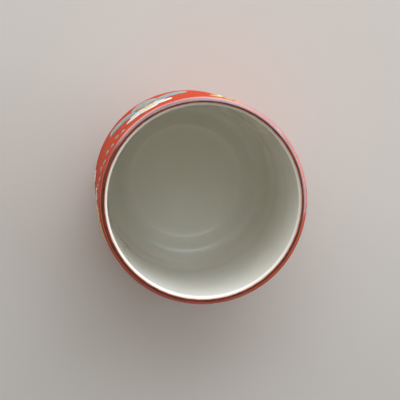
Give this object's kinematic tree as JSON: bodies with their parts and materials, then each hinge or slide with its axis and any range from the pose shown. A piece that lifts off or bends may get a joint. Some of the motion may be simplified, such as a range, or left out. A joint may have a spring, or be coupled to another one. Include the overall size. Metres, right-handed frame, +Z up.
{
  "type": "yunomi tea cup",
  "caption": "Tall straight-sided porcelain tea cup without a handle, red outside with raised enamel blossoms, white glaze inside, brown lip, on a low foot ring; holds hot tea.",
  "frame": {"origin": "centre of the foot ring's bottom, on the surface that the cup stands on", "axes": "+Z up the cup's axis to the mouth; +X and +Y across the mouth, to the right and up in the picture"},
  "size_m": [0.0728, 0.0728, 0.088],
  "materials": {
    "porcelain": "bare fired porcelain, fine and matte",
    "white_glaze": "clear glaze over white porcelain, glossy, faintly warm",
    "iron_glaze": "iron-brown lip glaze, glossy, uneven along its edges",
    "red_enamel": "iron-red overglaze enamel, brushed on, soft gloss",
    "white_enamel": "raised white enamel, glossy",
    "yellow_enamel": "raised yellow enamel, glassy",
    "teal_enamel": "raised blue-green enamel, glassy and a little translucent"
  },
  "bodies": {
    "root": {"porcelain_body": "porcelain", "foot_ring": "porcelain", "liner_glaze": "white_glaze", "outer_glaze": "white_glaze", "base_glaze": "white_glaze", "lip_band": "iron_glaze", "red_ground": "red_enamel", "white_blossom_1": "white_enamel", "white_blossom_2": "white_enamel", "white_blossom_3": "white_enamel", "yellow_blossom_1": "yellow_enamel", "yellow_blossom_2": "yellow_enamel", "yellow_blossom_3": "yellow_enamel", "teal_leaf_1": "teal_enamel", "teal_leaf_2": "teal_enamel", "teal_leaf_3": "teal_enamel", "teal_leaf_4": "teal_enamel", "teal_leaf_5": "teal_enamel", "teal_leaf_6": "teal_enamel", "teal_leaf_7": "teal_enamel", "teal_leaf_8": "teal_enamel", "teal_leaf_9": "teal_enamel"}
  },
  "joints": []
}
